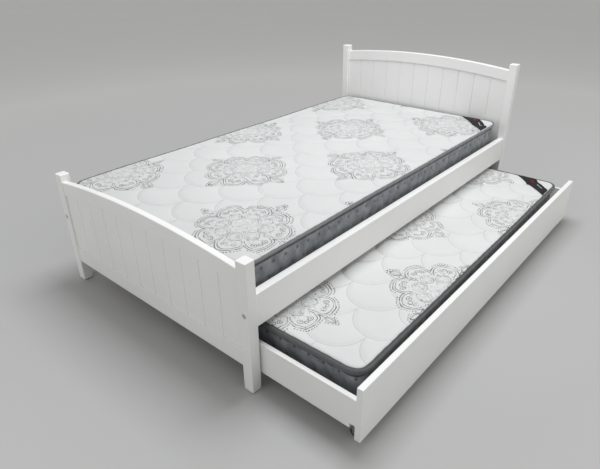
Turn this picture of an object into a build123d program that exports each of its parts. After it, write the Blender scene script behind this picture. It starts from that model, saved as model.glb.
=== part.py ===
from build123d import *
import math
import os

# A trundle bed: a fixed wooden bed with a second, lower bed on wheels that rolls out
# from under its right side.
# Millimetres, +Z up. +X is the side where the trundle comes out, +Y is the headboard.
# The model is laid out about the middle of the fixed bed, then every piece is moved in X
# so that the origin is on the floor under the middle of the whole bed as drawn out.

# ---------------------------------------------------------------- driving dimensions
BED_LENGTH = 2120.0             # over the posts, along Y
BED_WIDTH = 1168.0              # over the posts, along X
POST_X = 44.0
POST_Y = 44.0
FOOT_POST_TOP = 530.0
HEAD_POST_TOP = 810.0
GLIDE_HEIGHT = 2.5              # plastic glide that keeps each post off the floor
POST_ROUNDING = 4.0
POST_FOOT_CHAMFER = 1.0

ARCH_RISE = 33.0                # both boards have the same gentle arch
FOOT_ARCH_CROWN = 530.5
HEAD_ARCH_CROWN = 808.0
FOOT_TOP_RAIL_HEIGHT = 61.0
HEAD_TOP_RAIL_HEIGHT = 59.0
BOARD_RAIL_DEPTH = 26.0
BOARD_SETBACK = 4.0             # rails of the boards sit this far behind the posts' outer faces
BOTTOM_RAIL_Z = (104.0, 176.0)
EDGE_ROUNDING = 2.5
ARCH_CHAMFER = 1.8              # broken edges along the arches

PANEL_THICKNESS = 17.0
PANEL_TONGUE = 8.0              # how far the panel goes into the rails and posts
PANEL_PLAY = 0.2                # width of the slot beyond the panel
V_GROOVES = 10                  # they make the panel look like so many boards and one more
V_GROOVE_PITCH = 98.7
V_GROOVE_WIDTH = 5.5
V_GROOVE_DEPTH = 3.4

SIDE_RAIL_Z = (268.5, 397.0)
SIDE_RAIL_THICKNESS = 31.0
SIDE_RAIL_SETBACK = 3.0

MATTRESS_THICKNESS = 150.0
MATTRESS_CORNER = 60.0
MATTRESS_EDGE = 12.0
BED_MATTRESS_SIZE = (1074.0, 2030.0)       # king single
BED_MATTRESS_MIDDLE = (-6.0, 0.0)
TRUNDLE_MATTRESS_SIZE = (920.0, 1880.0)    # single
TRUNDLE_MATTRESS_GAP = 28.0                # between it and the trundle's front panel
TRUNDLE_MATTRESS_Y = -25.0                 # it lies a little towards the foot end
TRUNDLE_MATTRESS_TURN = 0.4                # degrees: it was put in a little askew
SOFT_GAP = 0.3                             # soft solids stop this short of what they lie on

BED_SLAT_COUNT = 11
BED_SLAT_WIDTH = 80.0
BED_SLAT_THICKNESS = 18.0
BED_SLAT_PITCH = 184.0
BED_SLAT_PLAY = 2.0
BED_SLAT_TOP = 333.0
LEDGER_WIDTH = 22.0
LEDGER_HEIGHT = 30.0
LEDGER_END_GAP = 20.0           # between the ends of a ledger and the posts
LEDGER_SCREWS_AT = (-4.5, -2.5, -0.5, 0.5, 2.5, 4.5)    # in slat pitches from the middle
LEDGER_SCREW_LENGTH = 44.0
BED_SLAT_SCREW_LENGTH = 40.0

TRUNDLE_DRAWN_OUT = 414.0       # front panel's outer face beyond the posts
TRUNDLE_LENGTH = 2020.0
TRUNDLE_DEPTH = 996.0
TRUNDLE_FRONT_Z = (27.5, 244.0)
TRUNDLE_FRONT_THICKNESS = 22.0
TRUNDLE_END_Z = (64.0, 190.0)
TRUNDLE_BACK_Z = (60.0, 190.0)
TRUNDLE_BOARD = 18.0            # thickness of the end and back panels
TRUNDLE_NOTCH = (21.0, 20.0)    # cut-out in each end panel beside the front castor
TRUNDLE_SLAT_COUNT = 8
TRUNDLE_SLAT_WIDTH = 90.0
TRUNDLE_SLAT_THICKNESS = 12.0
TRUNDLE_SLAT_PITCH = 240.0
TRUNDLE_SLAT_TOP = 97.0
TRUNDLE_SLAT_PLAY = 2.0
TRUNDLE_LEDGER = (20.0, 20.0)   # width and height
TRUNDLE_LEDGER_LENGTH = 1850.0
TRUNDLE_LEDGER_SCREWS_AT = (-3, -1, 1, 3)               # in slat pitches from the middle
TRUNDLE_LEDGER_SCREW_LENGTH = 34.0
TRUNDLE_SLAT_SCREW_LENGTH = 28.0
TRUNDLE_SLAT_SCREW_SIDESTEP = 25.0  # the screw is off the slat's middle, clear of the ledger screws
TRUNDLE_DOWEL_Z = (110.0, 160.0)
TRUNDLE_DOWEL_IN_FRONT = 12.0   # how far the dowels go into the front and the back panel
TRUNDLE_DOWEL_IN_BACK = 10.0
TRUNDLE_DOWEL_IN_END = 22.0     # and into the end panels

WHEEL_RADIUS = 17.5
WHEEL_TREAD_WIDTH = 14.0
WHEEL_TREAD_ROUNDING = 2.5
WHEEL_RIM = 5.0                 # from the tread in to the dished web
WHEEL_DISH = 3.0                # how far the web lies below each side of the tread
WHEEL_HUB_WIDTH = 16.0
WHEEL_HUB_RADIUS = 6.5
AXLE_RADIUS = 2.5
AXLE_HEAD = (2.0, 1.5)          # how much wider than the pin, and how thick
AXLE_TIP = (1.0, 1.0)
AXLE_RUNNING_GAP = 0.06
FORK_GAP = 17.0
FORK_SHEET = 1.6
FORK_TOP = 57.0                 # top face of the castor plate
CASTOR_PLATE = (34.0, 50.0)
CASTOR_FROM_CORNER = (19.0, 18.0)   # axle from the front or back panel, wheel from the end panel
CASTOR_BLOCK = (46.0, 54.0, 25.0)
CASTOR_BLOCK_FROM_END = 7.0     # room between the block and the end panel
CASTOR_BLOCK_SCREW_LENGTH = 58.0
CASTOR_BLOCK_SCREWS_AT = (12.0, 42.0)   # along the block, from the side near the end panel
CASTOR_BLOCK_SCREW_HEIGHT = 16.0        # above the block's lower face
CASTOR_SCREW_LENGTH = 12.0
CASTOR_SCREWS_AT = ((-11.0, 17.5), (11.0, 17.5), (-11.0, 32.0), (11.0, 32.0))   # along X and inboard
CASTOR_PLATE_CORNER = 3.0
CHEEK_HALF_TOP = 15.0           # the cheeks narrow from the plate down to the axle boss
CHEEK_HALF_BOTTOM = 5.5
CHEEK_BOTTOM = 2.0              # below the axle
AXLE_BOSS_RADIUS = 6.0

DOWEL_RADIUS = 4.0
DOWEL_LENGTH = 40.0
BOLT_RADIUS = 4.0
BOLT_HOLE_RADIUS = 4.3
BOLT_HEAD_RADIUS = 9.0
BOLT_HEAD_HEIGHT = 3.5
BOLT_HEAD_SINK = 0.2
BOLT_LENGTH = 100.0
BOLT_Z = 328.0
BOLT_KEY = 5.0                  # hexagon across the flats
BARREL_NUT_RADIUS = 6.0
BARREL_NUT_LENGTH = 20.0
BARREL_NUT_FROM_END = 48.0
SCREW_RADIUS = 2.0
SCREW_HEAD_RADIUS = 4.0
SCREW_HEAD_HEIGHT = 2.5
GLIDE_SIDE = 40.0
GLIDE_NAIL = (1.5, 14.0)        # radius and length of the glide's nail

# ------------------------------------------------------------- worked out from them
POST_MIDDLE = (BED_WIDTH / 2 - POST_X / 2, BED_LENGTH / 2 - POST_Y / 2)
POST_INNER_X = BED_WIDTH / 2 - POST_X
POST_INNER_Y = BED_LENGTH / 2 - POST_Y
BOARD_MIDDLE_Y = BED_LENGTH / 2 - BOARD_SETBACK - BOARD_RAIL_DEPTH / 2
SIDE_RAIL_OUTER_X = BED_WIDTH / 2 - SIDE_RAIL_SETBACK
SIDE_RAIL_INNER_X = SIDE_RAIL_OUTER_X - SIDE_RAIL_THICKNESS
SIDE_RAIL_MIDDLE_X = (SIDE_RAIL_OUTER_X + SIDE_RAIL_INNER_X) / 2
TRUNDLE_FRONT_X = BED_WIDTH / 2 + TRUNDLE_DRAWN_OUT
TRUNDLE_FRONT_INNER_X = TRUNDLE_FRONT_X - TRUNDLE_FRONT_THICKNESS
TRUNDLE_BACK_X = TRUNDLE_FRONT_X - TRUNDLE_DEPTH
TRUNDLE_BACK_INNER_X = TRUNDLE_BACK_X + TRUNDLE_BOARD
TRUNDLE_END_INNER_Y = TRUNDLE_LENGTH / 2 - TRUNDLE_BOARD
TRUNDLE_MATTRESS_MIDDLE = (
    TRUNDLE_FRONT_INNER_X - TRUNDLE_MATTRESS_GAP - TRUNDLE_MATTRESS_SIZE[0] / 2, TRUNDLE_MATTRESS_Y)
AXLE_X = (TRUNDLE_FRONT_INNER_X - CASTOR_FROM_CORNER[0], TRUNDLE_BACK_INNER_X + CASTOR_FROM_CORNER[0])
AXLE_Y = TRUNDLE_END_INNER_Y - CASTOR_FROM_CORNER[1]
ORIGIN_X = (TRUNDLE_FRONT_X - BED_WIDTH / 2) / 2

SIDES = (("left", -1), ("right", 1))
ENDS = (("foot", -1), ("head", 1))


# --------------------------------------------------------------------- small helpers
def block(x, y, z):
    """A box between two limits on each axis, in either order."""
    size = [abs(b - a) for a, b in (x, y, z)]
    middle = [(a + b) / 2 for a, b in (x, y, z)]
    return Pos(*middle) * Box(*size)


def rod(start, direction, radius, length):
    """A cylinder that starts at a point and runs along a direction."""
    return Plane(origin=start, z_dir=direction) * Cylinder(
        radius, length, align=(Align.CENTER, Align.CENTER, Align.MIN))


def softened(solid, radius, axis):
    """Round the edges of a solid that run along one axis."""
    return fillet(solid.edges().filter_by(axis), radius)


def countersunk_screw(head, direction, length):
    """A wood screw with its flat head flush at the point head, driven along direction."""
    plane = Plane(origin=head, z_dir=direction)
    cone = plane * Cone(SCREW_HEAD_RADIUS, SCREW_RADIUS, SCREW_HEAD_HEIGHT,
                        align=(Align.CENTER, Align.CENTER, Align.MIN))
    return cone + rod(head, direction, SCREW_RADIUS, length)


def pan_screw(seat, direction, length):
    """A screw whose low round head stands behind the point seat."""
    back = tuple(-component for component in direction)
    head = rod(seat, back, SCREW_HEAD_RADIUS, SCREW_HEAD_HEIGHT)
    return head + rod(seat, direction, SCREW_RADIUS, length)


def less(solid, tools):
    """Cut every tool out of a solid."""
    for tool in tools:
        solid = solid - tool
    return solid


# ------------------------------------------------------------- head and foot boards
def arch_height(x, crown):
    """Height of the arched edge at a distance x from the middle."""
    radius = (POST_INNER_X ** 2 + ARCH_RISE ** 2) / (2 * ARCH_RISE)
    return crown - radius + math.sqrt(radius ** 2 - x ** 2)


def arched_slab(crown, base, half_width, depth, y_middle):
    """A slab with an arched top; its base is a height, or the crown of a second arch."""
    top_end = arch_height(half_width, crown)
    top = ThreePointArc((-half_width, top_end), (0, crown), (half_width, top_end))
    if isinstance(base, tuple):
        base_crown = base[0]
        base_end = arch_height(half_width, base_crown)
        bottom = ThreePointArc((half_width, base_end), (0, base_crown), (-half_width, base_end))
    else:
        base_end = base
        bottom = Line((half_width, base_end), (-half_width, base_end))
    right = Line((half_width, top_end), (half_width, base_end))
    left = Line((-half_width, base_end), (-half_width, top_end))
    face = make_face(Curve() + [top, right, bottom, left])
    plane = Plane(origin=(0, y_middle, 0), x_dir=(1, 0, 0), z_dir=(0, -1, 0))
    return extrude(plane * face, depth / 2, both=True)


def board_measures(end):
    """Crown of the arch and height of the top rail of the foot or the head board."""
    if end < 0:
        return FOOT_ARCH_CROWN, FOOT_TOP_RAIL_HEIGHT
    return HEAD_ARCH_CROWN, HEAD_TOP_RAIL_HEIGHT


def board_dowel_heights(end):
    """Heights of the dowels that hold a board's two rails to the posts."""
    crown, rail_height = board_measures(end)
    rail_end = crown - ARCH_RISE
    top_pair = [rail_end - rail_height * part for part in (0.25, 0.75)]
    low, high = BOTTOM_RAIL_Z
    bottom_pair = [low + (high - low) * part for part in (0.28, 0.72)]
    return top_pair + bottom_pair


def board_dowels(end):
    """The dowels between one board's rails and its two posts."""
    dowels = []
    for side in (-1, 1):
        for z in board_dowel_heights(end):
            start = (side * (POST_INNER_X + DOWEL_LENGTH / 2), end * BOARD_MIDDLE_Y, z)
            dowels.append(rod(start, (-side, 0, 0), DOWEL_RADIUS, DOWEL_LENGTH))
    return dowels


def panel_slot(end):
    """The room that the grooved panel takes up in the rails and posts round it."""
    crown, rail_height = board_measures(end)
    half_width = POST_INNER_X + PANEL_TONGUE + 1
    return arched_slab(crown - rail_height + PANEL_TONGUE + 1, BOTTOM_RAIL_Z[1] - PANEL_TONGUE - 1,
                       half_width, PANEL_THICKNESS + PANEL_PLAY, end * BOARD_MIDDLE_Y)


def top_rail(end):
    crown, rail_height = board_measures(end)
    rail = arched_slab(crown, (crown - rail_height,), POST_INNER_X, BOARD_RAIL_DEPTH,
                       end * BOARD_MIDDLE_Y)
    arcs = [edge for edge in rail.edges() if edge.geom_type == GeomType.CIRCLE]
    rail = chamfer(arcs, ARCH_CHAMFER)
    return less(rail, [panel_slot(end)] + board_dowels(end))


def bottom_rail(end):
    y = end * BOARD_MIDDLE_Y
    rail = block((-POST_INNER_X, POST_INNER_X), (y - BOARD_RAIL_DEPTH / 2, y + BOARD_RAIL_DEPTH / 2),
                 BOTTOM_RAIL_Z)
    rail = softened(rail, EDGE_ROUNDING, Axis.X)
    return less(rail, [panel_slot(end)] + board_dowels(end))


def v_groove(x, y, outward, z_low, z_high):
    """A V-shaped bar that cuts one groove in a panel's face."""
    bar = Polyline((-V_GROOVE_WIDTH / 2, 0), (V_GROOVE_WIDTH / 2, 0), (0, -V_GROOVE_DEPTH), close=True)
    plane = Plane(origin=(x, y, z_low), x_dir=(outward, 0, 0), z_dir=(0, 0, 1))
    return extrude(plane * make_face(bar), z_high - z_low)


def grooved_panel(end):
    """The panel of one board, with matching V-grooves in both faces."""
    crown, rail_height = board_measures(end)
    low = BOTTOM_RAIL_Z[1] - PANEL_TONGUE
    high = crown - rail_height + PANEL_TONGUE
    y = end * BOARD_MIDDLE_Y
    panel = arched_slab(high, low, POST_INNER_X + PANEL_TONGUE, PANEL_THICKNESS, y)
    grooves = []
    for number in range(V_GROOVES):
        x = (number - (V_GROOVES - 1) / 2) * V_GROOVE_PITCH
        for outward in (-1, 1):
            grooves.append(v_groove(x, y + outward * PANEL_THICKNESS / 2, outward, low, high))
    return less(panel, grooves)


def post(side, end):
    """A corner post, rounded along its edges and chamfered round its foot."""
    top = FOOT_POST_TOP if end < 0 else HEAD_POST_TOP
    x = side * POST_MIDDLE[0]
    y = end * POST_MIDDLE[1]
    body = block((x - POST_X / 2, x + POST_X / 2), (y - POST_Y / 2, y + POST_Y / 2),
                 (GLIDE_HEIGHT, top))
    body = softened(body, POST_ROUNDING, Axis.Z)
    body = fillet(body.faces().sort_by(Axis.Z)[-1].edges(), POST_ROUNDING * 0.8)
    body = chamfer(body.faces().sort_by(Axis.Z)[0].edges(), POST_FOOT_CHAMFER)
    return less(body, [panel_slot(end), bolt_hole(side, end), post_glide(side, end)]
                + board_dowels(end) + side_rail_dowels(side, end))


def post_glide(side, end):
    """A square plastic glide with a nail that goes up into the post."""
    x = side * POST_MIDDLE[0]
    y = end * POST_MIDDLE[1]
    half = GLIDE_SIDE / 2
    pad = block((x - half, x + half), (y - half, y + half), (0, GLIDE_HEIGHT))
    pad = fillet(pad.edges().filter_by(Axis.Z), POST_ROUNDING)
    pad = chamfer(pad.faces().sort_by(Axis.Z)[0].edges(), 0.8)
    return pad + rod((x, y, GLIDE_HEIGHT), (0, 0, 1), *GLIDE_NAIL)


# ---------------------------------------------------------------- bed bolts and nuts
def bolt_head_start(side, end):
    """Outer end of a bed bolt, a little inside the post's outer face."""
    return (side * SIDE_RAIL_MIDDLE_X, end * (BED_LENGTH / 2 - BOLT_HEAD_SINK), BOLT_Z)


def bed_bolt(side, end):
    """A bolt with a flat round head and a hexagon key socket."""
    start = bolt_head_start(side, end)
    inward = (0, -end, 0)
    head = rod(start, inward, BOLT_HEAD_RADIUS, BOLT_HEAD_HEIGHT)
    head = chamfer(head.faces().sort_by(Axis.Y)[0 if end < 0 else -1].edges(), 0.6)
    shank = rod(start, inward, BOLT_RADIUS, BOLT_LENGTH)
    key = extrude(Plane(origin=start, z_dir=inward) * RegularPolygon(BOLT_KEY / math.sqrt(3), 6), 2.5)
    return head + shank - key


def bolt_hole(side, end):
    """Counterbore and clearance hole for one bed bolt, through post and rail."""
    start = bolt_head_start(side, end)
    outside = (start[0], end * (BED_LENGTH / 2 + 1), start[2])
    inward = (0, -end, 0)
    counterbore = rod(outside, inward, BOLT_HEAD_RADIUS + 0.4, BOLT_HEAD_HEIGHT + BOLT_HEAD_SINK + 1)
    return counterbore + rod(outside, inward, BOLT_HOLE_RADIUS, BOLT_LENGTH + 4)


def barrel_nut_start(side, end):
    y = end * (POST_INNER_Y - BARREL_NUT_FROM_END)
    return (side * SIDE_RAIL_INNER_X, y, BOLT_Z)


def barrel_nut(side, end):
    """A cross dowel nut that goes into the inner face of a side rail."""
    nut = rod(barrel_nut_start(side, end), (side, 0, 0), BARREL_NUT_RADIUS, BARREL_NUT_LENGTH)
    return nut - rod(bolt_head_start(side, end), (0, -end, 0), BOLT_RADIUS, BOLT_LENGTH)


def side_rail_dowels(side, end):
    """Two dowels that keep a side rail from turning round its bolt."""
    dowels = []
    low, high = SIDE_RAIL_Z
    y = end * (POST_INNER_Y + DOWEL_LENGTH / 2)
    for part in (0.18, 0.82):
        start = (side * SIDE_RAIL_MIDDLE_X, y, low + (high - low) * part)
        dowels.append(rod(start, (0, -end, 0), DOWEL_RADIUS, DOWEL_LENGTH))
    return dowels


# ------------------------------------------------------------ side rails and slats
def side_rail(side):
    rail = block((side * SIDE_RAIL_INNER_X, side * SIDE_RAIL_OUTER_X), (-POST_INNER_Y, POST_INNER_Y),
                 SIDE_RAIL_Z)
    rail = softened(rail, EDGE_ROUNDING, Axis.Y)
    cuts = ledger_screws(side)
    for _, end in ENDS:
        nut_room = rod(barrel_nut_start(side, end), (side, 0, 0), BARREL_NUT_RADIUS, BARREL_NUT_LENGTH)
        cuts += [bolt_hole(side, end), nut_room] + side_rail_dowels(side, end)
    return less(rail, cuts)


def slat_ledger(side):
    """The strip along a side rail that carries the ends of the slats."""
    outer = side * SIDE_RAIL_INNER_X
    top = BED_SLAT_TOP - BED_SLAT_THICKNESS
    half = POST_INNER_Y - LEDGER_END_GAP
    ledger = block((outer - side * LEDGER_WIDTH, outer), (-half, half), (top - LEDGER_HEIGHT, top))
    return less(ledger, ledger_screws(side) + [pair[side > 0] for pair in bed_slat_screws()])


def ledger_screws(side):
    """Screws that hold a ledger to its side rail."""
    height = BED_SLAT_TOP - BED_SLAT_THICKNESS - LEDGER_HEIGHT / 2
    start_x = side * (SIDE_RAIL_INNER_X - LEDGER_WIDTH)
    return [countersunk_screw((start_x, place * BED_SLAT_PITCH, height), (side, 0, 0), LEDGER_SCREW_LENGTH)
            for place in LEDGER_SCREWS_AT]


def bed_slat_y(number):
    return (number - (BED_SLAT_COUNT - 1) / 2) * BED_SLAT_PITCH


def bed_slat_screws():
    """For each slat, its left and right screw, down into the ledgers."""
    x = SIDE_RAIL_INNER_X - LEDGER_WIDTH / 2
    pairs = []
    for number in range(BED_SLAT_COUNT):
        heads = [(side * x, bed_slat_y(number), BED_SLAT_TOP) for side in (-1, 1)]
        pairs.append([countersunk_screw(head, (0, 0, -1), BED_SLAT_SCREW_LENGTH) for head in heads])
    return pairs


def bed_slat(number):
    half = SIDE_RAIL_INNER_X - BED_SLAT_PLAY
    y = bed_slat_y(number)
    slat = block((-half, half), (y - BED_SLAT_WIDTH / 2, y + BED_SLAT_WIDTH / 2),
                 (BED_SLAT_TOP - BED_SLAT_THICKNESS, BED_SLAT_TOP))
    slat = softened(slat, EDGE_ROUNDING, Axis.X)
    return less(slat, bed_slat_screws()[number])


# ------------------------------------------------------------------------ mattresses
def mattress(size, middle, base, turn=0.0):
    """A plain closed solid of a mattress: round corners and slightly rounded edges."""
    plan = RectangleRounded(size[0], size[1], MATTRESS_CORNER)
    solid = extrude(plan, MATTRESS_THICKNESS - SOFT_GAP)
    ends = solid.faces().filter_by(Axis.Z)
    solid = fillet([edge for face in ends for edge in face.edges()], MATTRESS_EDGE)
    return Pos(middle[0], middle[1], base + SOFT_GAP) * Rot(0, 0, turn) * solid


# --------------------------------------------------------------------------- trundle
def trundle_dowels():
    """Dowels between the trundle's front and back panels and its two end panels."""
    dowels = []
    front_x = TRUNDLE_FRONT_INNER_X + TRUNDLE_DOWEL_IN_FRONT
    back_x = TRUNDLE_BACK_INNER_X - TRUNDLE_DOWEL_IN_BACK
    front_length = TRUNDLE_DOWEL_IN_FRONT + TRUNDLE_DOWEL_IN_END
    back_length = TRUNDLE_DOWEL_IN_BACK + TRUNDLE_DOWEL_IN_END
    for end in (-1, 1):
        y = end * (TRUNDLE_LENGTH / 2 - TRUNDLE_BOARD / 2)
        for z in TRUNDLE_DOWEL_Z:
            dowels.append(rod((front_x, y, z), (-1, 0, 0), DOWEL_RADIUS, front_length))
            dowels.append(rod((back_x, y, z), (1, 0, 0), DOWEL_RADIUS, back_length))
    return dowels


def trundle_front_panel():
    half = TRUNDLE_LENGTH / 2
    panel = block((TRUNDLE_FRONT_INNER_X, TRUNDLE_FRONT_X), (-half, half), TRUNDLE_FRONT_Z)
    panel = softened(panel, EDGE_ROUNDING * 0.6, Axis.Y)
    return less(panel, trundle_dowels() + trundle_ledger_screws(1) + long_panel_block_screws(1))


def trundle_back_panel():
    half = TRUNDLE_LENGTH / 2
    panel = block((TRUNDLE_BACK_X, TRUNDLE_BACK_INNER_X), (-half, half), TRUNDLE_BACK_Z)
    panel = softened(panel, EDGE_ROUNDING * 0.6, Axis.Y)
    return less(panel, trundle_dowels() + trundle_ledger_screws(-1) + long_panel_block_screws(-1))


def trundle_end_panel(end):
    """An end panel of the trundle, notched at its lower front corner beside the castor."""
    inner = end * TRUNDLE_END_INNER_Y
    outer = end * TRUNDLE_LENGTH / 2
    panel = block((TRUNDLE_BACK_INNER_X, TRUNDLE_FRONT_INNER_X), (inner, outer), TRUNDLE_END_Z)
    panel = softened(panel, EDGE_ROUNDING * 0.6, Axis.X)
    notch = block((TRUNDLE_FRONT_INNER_X - TRUNDLE_NOTCH[0], TRUNDLE_FRONT_INNER_X + 1),
                  (inner - end, outer + end),
                  (TRUNDLE_END_Z[0] - 1, TRUNDLE_END_Z[0] + TRUNDLE_NOTCH[1]))
    return less(panel, [notch] + trundle_dowels())


def trundle_ledger_face(front):
    """X of the panel face that a trundle ledger is fixed to, and of its free face."""
    if front > 0:
        return TRUNDLE_FRONT_INNER_X, TRUNDLE_FRONT_INNER_X - TRUNDLE_LEDGER[0]
    return TRUNDLE_BACK_INNER_X, TRUNDLE_BACK_INNER_X + TRUNDLE_LEDGER[0]


def trundle_ledger(front):
    top = TRUNDLE_SLAT_TOP - TRUNDLE_SLAT_THICKNESS
    half = TRUNDLE_LEDGER_LENGTH / 2
    ledger = block(trundle_ledger_face(front), (-half, half), (top - TRUNDLE_LEDGER[1], top))
    slat_screws = [pair[front > 0] for pair in trundle_slat_screws()]
    return less(ledger, trundle_ledger_screws(front) + slat_screws)


def trundle_ledger_screws(front):
    height = TRUNDLE_SLAT_TOP - TRUNDLE_SLAT_THICKNESS - TRUNDLE_LEDGER[1] / 2
    start_x = trundle_ledger_face(front)[1]
    return [countersunk_screw((start_x, place * TRUNDLE_SLAT_PITCH, height), (front, 0, 0),
                              TRUNDLE_LEDGER_SCREW_LENGTH) for place in TRUNDLE_LEDGER_SCREWS_AT]


def trundle_slat_y(number):
    return (number - (TRUNDLE_SLAT_COUNT - 1) / 2) * TRUNDLE_SLAT_PITCH


def trundle_slat_screws():
    """For each trundle slat, its back and front screw."""
    places = (TRUNDLE_BACK_INNER_X + TRUNDLE_LEDGER[0] / 2, TRUNDLE_FRONT_INNER_X - TRUNDLE_LEDGER[0] / 2)
    pairs = []
    for number in range(TRUNDLE_SLAT_COUNT):
        y = trundle_slat_y(number) + TRUNDLE_SLAT_SCREW_SIDESTEP
        heads = [(x, y, TRUNDLE_SLAT_TOP) for x in places]
        pairs.append([countersunk_screw(head, (0, 0, -1), TRUNDLE_SLAT_SCREW_LENGTH) for head in heads])
    return pairs


def trundle_slat(number):
    y = trundle_slat_y(number)
    slat = block((TRUNDLE_BACK_INNER_X + TRUNDLE_SLAT_PLAY, TRUNDLE_FRONT_INNER_X - TRUNDLE_SLAT_PLAY),
                 (y - TRUNDLE_SLAT_WIDTH / 2, y + TRUNDLE_SLAT_WIDTH / 2),
                 (TRUNDLE_SLAT_TOP - TRUNDLE_SLAT_THICKNESS, TRUNDLE_SLAT_TOP))
    slat = softened(slat, EDGE_ROUNDING * 0.8, Axis.X)
    return less(slat, trundle_slat_screws()[number])


# --------------------------------------------------------------------------- castors
def axle_point(front, end):
    return (AXLE_X[0] if front > 0 else AXLE_X[1], end * AXLE_Y, WHEEL_RADIUS)


def long_panel_x(front):
    """X of the inner face of the trundle's front or back panel."""
    return TRUNDLE_FRONT_INNER_X if front > 0 else TRUNDLE_BACK_INNER_X


def castor_block(front, end):
    """A wooden block against the front or back panel that the castor is screwed under."""
    near = long_panel_x(front)
    outer = end * (TRUNDLE_END_INNER_Y - CASTOR_BLOCK_FROM_END)
    solid = block((near - front * CASTOR_BLOCK[0], near), (outer - end * CASTOR_BLOCK[1], outer),
                  (FORK_TOP, FORK_TOP + CASTOR_BLOCK[2]))
    return less(solid, castor_screws(front, end) + castor_block_screws(front, end))


def castor_block_screws(front, end):
    """Two screws that hold a block to the front or back panel."""
    start_x = long_panel_x(front) - front * CASTOR_BLOCK[0]
    outer = TRUNDLE_END_INNER_Y - CASTOR_BLOCK_FROM_END
    height = FORK_TOP + CASTOR_BLOCK_SCREW_HEIGHT
    return [countersunk_screw((start_x, end * (outer - along), height), (front, 0, 0),
                              CASTOR_BLOCK_SCREW_LENGTH) for along in CASTOR_BLOCK_SCREWS_AT]


def long_panel_block_screws(front):
    """All the block screws that go into the front or the back panel."""
    return castor_block_screws(front, -1) + castor_block_screws(front, 1)


def castor_screws(front, end):
    """The pan-head screws that hold a castor's plate up to its block."""
    x, y, _ = axle_point(front, end)
    seat = FORK_TOP - FORK_SHEET
    return [pan_screw((x + along, y - end * inboard, seat), (0, 0, 1), CASTOR_SCREW_LENGTH)
            for along, inboard in CASTOR_SCREWS_AT]


def castor_bracket(front, end):
    """The fixed steel bracket of a castor: a flat plate and two cheeks."""
    x, y, z = axle_point(front, end)
    under_plate = FORK_TOP - FORK_SHEET
    plate_outer = y + end * (FORK_GAP / 2 + FORK_SHEET)
    plate = block((x - CASTOR_PLATE[0] / 2, x + CASTOR_PLATE[0] / 2),
                  (plate_outer - end * CASTOR_PLATE[1], plate_outer), (under_plate, FORK_TOP))
    bracket = softened(plate, CASTOR_PLATE_CORNER, Axis.Z)
    cheek_top = under_plate - z
    cheek_outline = Polyline((-CHEEK_HALF_TOP, cheek_top), (CHEEK_HALF_TOP, cheek_top),
                             (CHEEK_HALF_BOTTOM, -CHEEK_BOTTOM), (-CHEEK_HALF_BOTTOM, -CHEEK_BOTTOM),
                             close=True)
    for which in (-1, 1):
        start = y + which * FORK_GAP / 2
        upright = Plane(origin=(x, start, z), x_dir=(1, 0, 0), z_dir=(0, -1, 0))
        cheek = extrude(make_face(upright * cheek_outline), FORK_SHEET, dir=(0, which, 0))
        bracket = bracket + cheek + rod((x, start, z), (0, which, 0), AXLE_BOSS_RADIUS, FORK_SHEET)
    hole = rod((x, y - FORK_GAP, z), (0, 1, 0), AXLE_RADIUS, 2 * FORK_GAP)
    return less(bracket, [hole] + castor_screws(front, end))


def castor_axle(front, end):
    """A pin through fork and wheel, with a head on the inboard side and a riveted tip."""
    x, y, z = axle_point(front, end)
    reach = FORK_GAP / 2 + FORK_SHEET
    pin = rod((x, y - reach, z), (0, 1, 0), AXLE_RADIUS, 2 * reach)
    inboard = rod((x, y - end * reach, z), (0, -end, 0), AXLE_RADIUS + AXLE_HEAD[0], AXLE_HEAD[1])
    tip = rod((x, y + end * reach, z), (0, end, 0), AXLE_RADIUS + AXLE_TIP[0], AXLE_TIP[1])
    return pin + inboard + tip


def castor_wheel(front, end):
    """A solid wheel with a rounded tread, a dished web and a long hub."""
    x, y, z = axle_point(front, end)
    plane = Plane(origin=(x, y, z), z_dir=(0, 1, 0))
    tyre = Cylinder(WHEEL_RADIUS, WHEEL_TREAD_WIDTH)
    tyre = fillet(tyre.edges(), WHEEL_TREAD_ROUNDING)
    for which in (-1, 1):
        dish = Pos(0, 0, which * WHEEL_TREAD_WIDTH / 2) * Cylinder(WHEEL_RADIUS - WHEEL_RIM, 2 * WHEEL_DISH)
        tyre = tyre - dish
    wheel = tyre + Cylinder(WHEEL_HUB_RADIUS, WHEEL_HUB_WIDTH)
    return plane * (wheel - Cylinder(AXLE_RADIUS + AXLE_RUNNING_GAP, WHEEL_HUB_WIDTH * 2))


# --------------------------------------------------------------------- all the pieces
def bed_pieces():
    """Every node of the fixed bed."""
    pieces = {}
    for end_name, end in ENDS:
        for side_name, side in SIDES:
            pieces[f"{end_name}_post_{side_name}"] = post(side, end)
        pieces[f"{end_name}_top_rail"] = top_rail(end)
        pieces[f"{end_name}_panel"] = grooved_panel(end)
        pieces[f"{end_name}_bottom_rail"] = bottom_rail(end)
    for side_name, side in SIDES:
        pieces[f"side_rail_{side_name}"] = side_rail(side)
        pieces[f"slat_ledger_{side_name}"] = slat_ledger(side)
    for number in range(BED_SLAT_COUNT):
        pieces[f"bed_slat_{number + 1:02d}"] = bed_slat(number)
    pieces["bed_mattress"] = mattress(BED_MATTRESS_SIZE, BED_MATTRESS_MIDDLE, BED_SLAT_TOP)
    return pieces


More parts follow.
